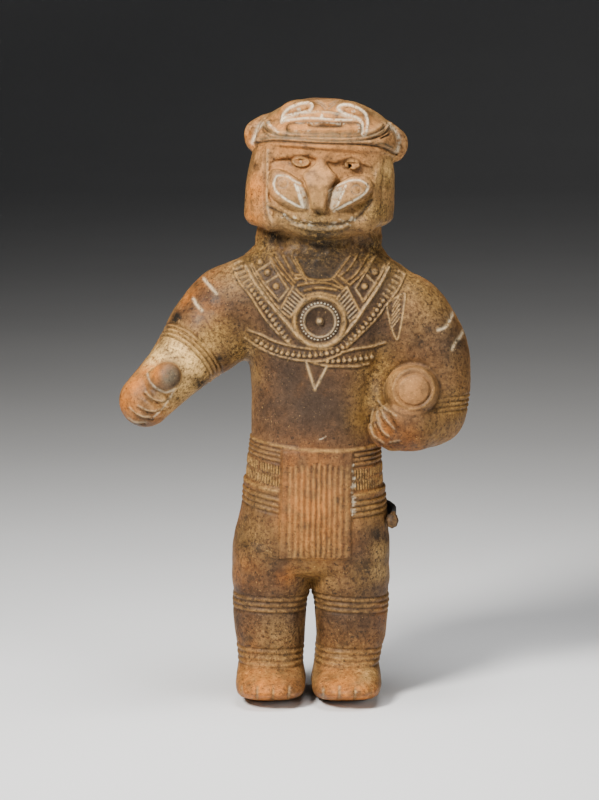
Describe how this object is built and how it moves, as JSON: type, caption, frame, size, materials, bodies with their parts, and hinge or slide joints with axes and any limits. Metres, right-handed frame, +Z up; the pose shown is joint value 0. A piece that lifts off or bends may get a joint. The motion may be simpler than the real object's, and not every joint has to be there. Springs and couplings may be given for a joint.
{
  "type": "masked figurine",
  "caption": "Standing fired-clay figurine in an animal mask and headdress, with collar, belt and apron, one arm reaching out, held upright by a slim metal clip stand.",
  "frame": {"origin": "on the ground under the middle of the whole, figure and display mount together", "axes": "+Z up, -Y is the figure's front, +X to the right of someone who faces the figure"},
  "size_m": [0.1614, 0.0878, 0.2784],
  "materials": {
    "fired_clay": "burnished fired clay, brown with orange and grey patches and pale residue in its grooves",
    "mount_metal": "satin black paint"
  },
  "bodies": {
    "root": {"figurine": "fired_clay", "mount": "mount_metal"}
  },
  "joints": []
}
